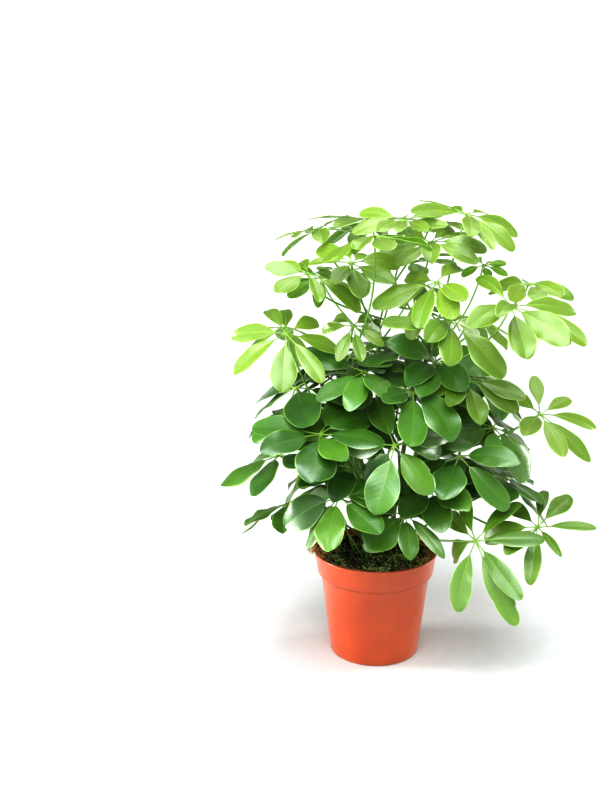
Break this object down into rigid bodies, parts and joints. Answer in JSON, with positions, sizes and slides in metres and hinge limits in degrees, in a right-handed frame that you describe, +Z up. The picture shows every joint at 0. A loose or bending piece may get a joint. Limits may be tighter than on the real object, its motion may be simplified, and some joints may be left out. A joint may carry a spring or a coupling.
{
  "type": "potted umbrella plant",
  "caption": "Bushy umbrella plant with hand-shaped compound leaves on thin stalks, growing from several stems in a round plastic nursery pot of soil.",
  "frame": {"origin": "middle of the pot's flat base, on the surface that it stands on", "axes": "+Z up, -Y towards the picture's viewer, +X to the viewer's right"},
  "size_m": [0.368, 0.3248, 0.4765],
  "materials": {
    "pot": "satin terracotta-orange moulded plastic",
    "soil": "dark damp potting soil with fibres and moss",
    "stem": "smooth green young bark",
    "leaf_young": "soft glossy lime green",
    "leaf_mid": "glossy mid green",
    "leaf_old": "waxy dark green with a paler margin"
  },
  "bodies": {
    "root": {"pot": "pot", "soil": "soil", "stem_1": "stem", "stem_2": "stem", "stem_3": "stem", "stem_4": "stem", "stem_5": "stem", "leaf_01": "leaf_old", "leaf_02": "leaf_mid", "leaf_03": "leaf_mid", "leaf_04": "leaf_old", "leaf_05": "leaf_old", "leaf_06": "leaf_old", "leaf_07": "leaf_old", "leaf_08": "leaf_old", "leaf_09": "leaf_old", "leaf_10": "leaf_old", "leaf_11": "leaf_old", "leaf_12": "leaf_old", "leaf_13": "leaf_old", "leaf_14": "leaf_old", "leaf_15": "leaf_old", "leaf_16": "leaf_old", "leaf_17": "leaf_old", "leaf_18": "leaf_old", "leaf_19": "leaf_old", "leaf_20": "leaf_old", "leaf_21": "leaf_old", "leaf_22": "leaf_young", "leaf_23": "leaf_old", "leaf_24": "leaf_old", "leaf_25": "leaf_old", "leaf_26": "leaf_old", "leaf_27": "leaf_old", "leaf_28": "leaf_old", "leaf_29": "leaf_young", "leaf_30": "leaf_old", "leaf_31": "leaf_old", "leaf_32": "leaf_old", "leaf_33": "leaf_young", "leaf_34": "leaf_young", "leaf_35": "leaf_young", "leaf_36": "leaf_young", "leaf_37": "leaf_young", "leaf_38": "leaf_young", "leaf_39": "leaf_young", "leaf_40": "leaf_young", "leaf_41": "leaf_young", "leaf_42": "leaf_young", "leaf_43": "leaf_young", "leaf_44": "leaf_young", "leaf_45": "leaf_young", "leaf_46": "leaf_young", "leaf_47": "leaf_young", "leaf_48": "leaf_young", "leaf_49": "leaf_young", "leaf_50": "leaf_young", "leaf_51": "leaf_young", "leaf_52": "leaf_young", "leaf_53": "leaf_young"}
  },
  "joints": []
}
